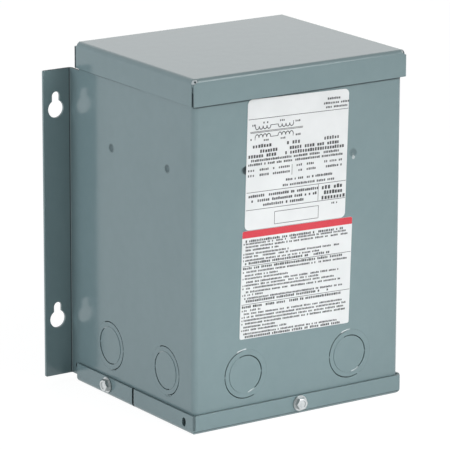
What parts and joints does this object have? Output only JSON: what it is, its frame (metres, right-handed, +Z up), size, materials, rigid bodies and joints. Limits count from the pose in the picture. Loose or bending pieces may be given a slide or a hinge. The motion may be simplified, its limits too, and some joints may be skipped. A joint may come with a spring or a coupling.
{
  "type": "buck-boost transformer",
  "caption": "Encapsulated dry-type buck-boost transformer in a sheet-steel case with keyhole mounting flanges, a lid, bottom trays and conduit knockouts.",
  "frame": {"origin": "middle of the overall box in X and Y, at the underside of the bottom trays", "axes": "+Z up, +Y towards the wall that the flanges are screwed to, +X to the right seen from the front"},
  "size_m": [0.1774, 0.136, 0.2032],
  "materials": {
    "enamel": "semi-gloss grey baked enamel on sheet steel",
    "zinc": "bright zinc plate",
    "label": "satin white polyester sticker",
    "potting": "dull black sand-filled resin"
  },
  "bodies": {
    "root": {"case": "enamel", "back_panel": "enamel", "lid": "enamel", "front_cover": "enamel", "rear_tray": "enamel", "front_cover_screw": "zinc", "left_tray_screw": "zinc", "right_tray_screw": "zinc", "knockout_ring_front_left": "enamel", "knockout_disc_front_left": "enamel", "knockout_ring_front_right": "enamel", "knockout_disc_front_right": "enamel", "knockout_ring_left_front": "enamel", "knockout_disc_left_front": "enamel", "knockout_ring_left_rear": "enamel", "knockout_disc_left_rear": "enamel", "knockout_ring_right_front": "enamel", "knockout_disc_right_front": "enamel", "knockout_ring_right_rear": "enamel", "knockout_disc_right_rear": "enamel", "rating_label": "label", "lower_label": "label", "potted_core": "potting"}
  },
  "joints": []
}
